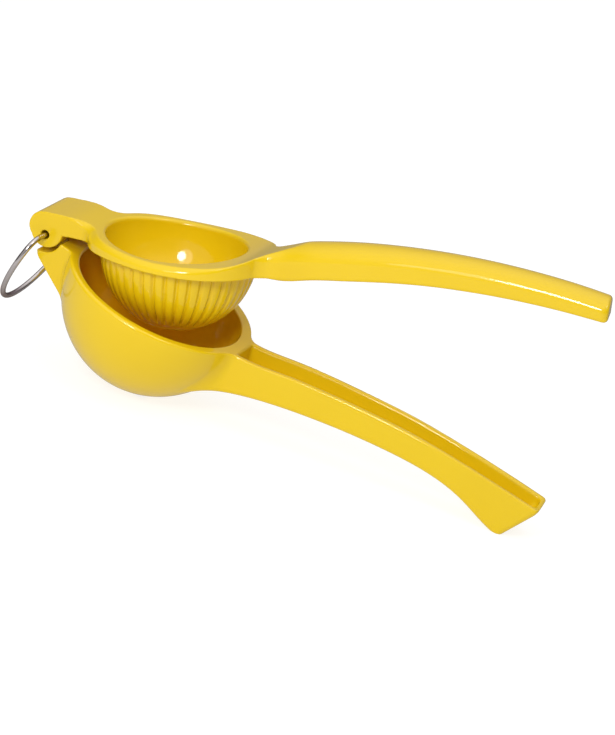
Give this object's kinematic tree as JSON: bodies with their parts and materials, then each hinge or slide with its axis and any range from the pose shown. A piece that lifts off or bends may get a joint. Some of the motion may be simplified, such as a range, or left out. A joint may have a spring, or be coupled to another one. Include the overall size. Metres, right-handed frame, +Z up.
{
  "type": "hinged lemon squeezer",
  "caption": "Hand press for lemon halves: a fluted press cup on a hinged upper handle closes into a deep bowl on a lower handle; a wire ring pins the hinge.",
  "frame": {"origin": "middle of the small flat under the bowl, on the surface that the squeezer stands on", "axes": "+Z up, +X from the hinge towards the handles' ends, +Y across the squeezer along the hinge axis"},
  "size_m": [0.2176, 0.0718, 0.0952],
  "materials": {
    "yellow_enamel": "glossy yellow enamel on a cast aluminium body",
    "bright_wire": "bright drawn steel wire"
  },
  "bodies": {
    "lower_arm": {"lower_arm": "yellow_enamel"},
    "upper_arm": {"upper_arm": "yellow_enamel"},
    "hinge_ring": {"hinge_ring": "bright_wire"}
  },
  "joints": [
    {"name": "arm_hinge", "type": "hinge", "parent": "lower_arm", "child": "upper_arm", "pos_m": [-0.04368, 0, 0.04729], "axis": [0, -1, 0], "range_deg": [-20.7, 76]},
    {"name": "ring_swing", "type": "hinge", "parent": "lower_arm", "child": "hinge_ring", "pos_m": [-0.04368, 0, 0.04729], "axis": [0, -1, 0], "range_deg": [-145, 42]}
  ]
}
